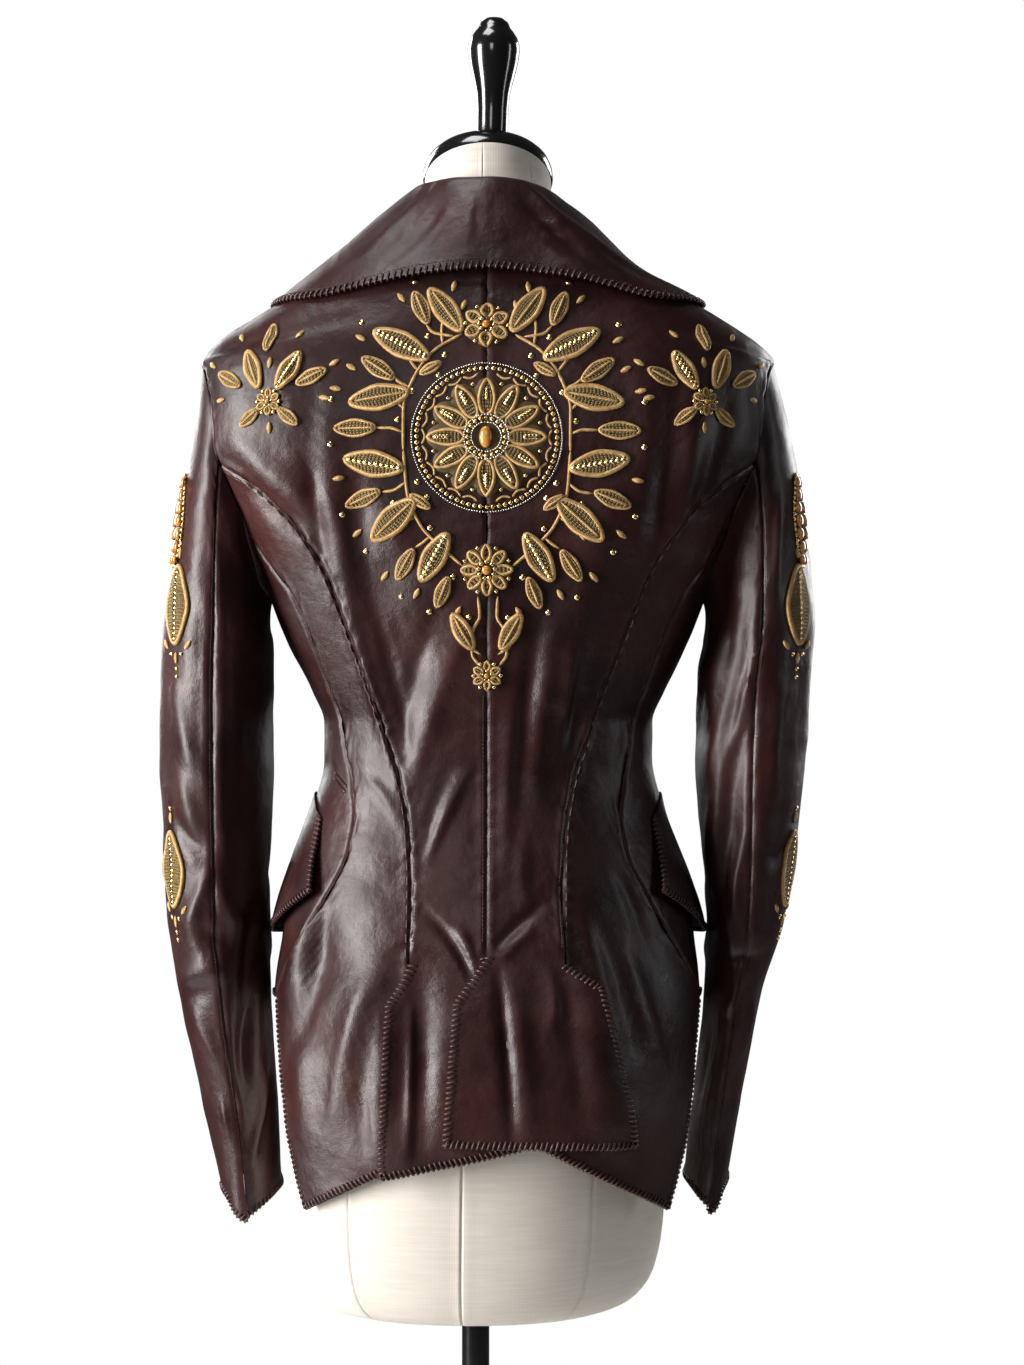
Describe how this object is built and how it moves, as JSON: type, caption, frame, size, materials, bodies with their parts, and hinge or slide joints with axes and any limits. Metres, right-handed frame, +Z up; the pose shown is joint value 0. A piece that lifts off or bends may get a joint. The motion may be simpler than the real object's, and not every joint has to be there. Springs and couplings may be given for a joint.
{
  "type": "leather jacket on a dress form",
  "caption": "Fitted dark leather jacket with wide collar, curved back seams, cut peplum and gold thread flowers, worn by a limbless linen form on a stand.",
  "frame": {"origin": "on the floor, under the middle of the stand's base plate", "axes": "+Z up; +Y is the side that the jacket's front faces; +X is to the right for someone who looks at the jacket's back"},
  "size_m": [0.5023, 0.38, 1.6871],
  "materials": {
    "leather": "glossy dark brown nappa, hand stitched edges",
    "linen": "natural linen drawn over a moulded torso",
    "black_paint": "black gloss paint",
    "black_wood": "turned wood, black gloss lacquer",
    "gold_thread": "raised gold and bronze thread, beads and sequins",
    "horn": "polished dark brown"
  },
  "bodies": {
    "root": {"back_left": "leather", "back_right": "leather", "base_plate": "black_paint", "button_1": "horn", "button_2": "horn", "collar": "leather", "finial": "black_wood", "flower_1": "gold_thread", "flower_2": "gold_thread", "flower_3": "gold_thread", "flower_4": "gold_thread", "form_torso": "linen", "front_left": "leather", "front_right": "leather", "lapel_left": "leather", "lapel_right": "leather", "leaf_1_left": "gold_thread", "leaf_1_right": "gold_thread", "leaf_2_left": "gold_thread", "leaf_2_right": "gold_thread", "leaf_3_left": "gold_thread", "leaf_3_right": "gold_thread", "leaf_4_left": "gold_thread", "leaf_4_right": "gold_thread", "leaf_5_left": "gold_thread", "leaf_5_right": "gold_thread", "leaf_6_left": "gold_thread", "leaf_6_right": "gold_thread", "leaf_7_left": "gold_thread", "leaf_7_right": "gold_thread", "neck_cap": "black_wood", "pocket_flap_left": "leather", "pocket_flap_right": "leather", "pole": "black_paint", "pole_foot": "black_paint", "pole_socket": "black_paint", "shoulder_leaf_1_left": "gold_thread", "shoulder_leaf_1_right": "gold_thread", "shoulder_leaf_2_left": "gold_thread", "shoulder_leaf_2_right": "gold_thread", "side_back_left": "leather", "side_back_right": "leather", "side_left": "leather", "side_right": "leather", "sleeve_beads_1_left": "gold_thread", "sleeve_beads_1_right": "gold_thread", "sleeve_leaf_1_left": "gold_thread", "sleeve_leaf_1_right": "gold_thread", "sleeve_leaf_2_left": "gold_thread", "sleeve_leaf_2_right": "gold_thread", "sleeve_under_left": "leather", "sleeve_under_right": "leather", "sleeve_upper_left": "leather", "sleeve_upper_right": "leather"}
  },
  "joints": []
}
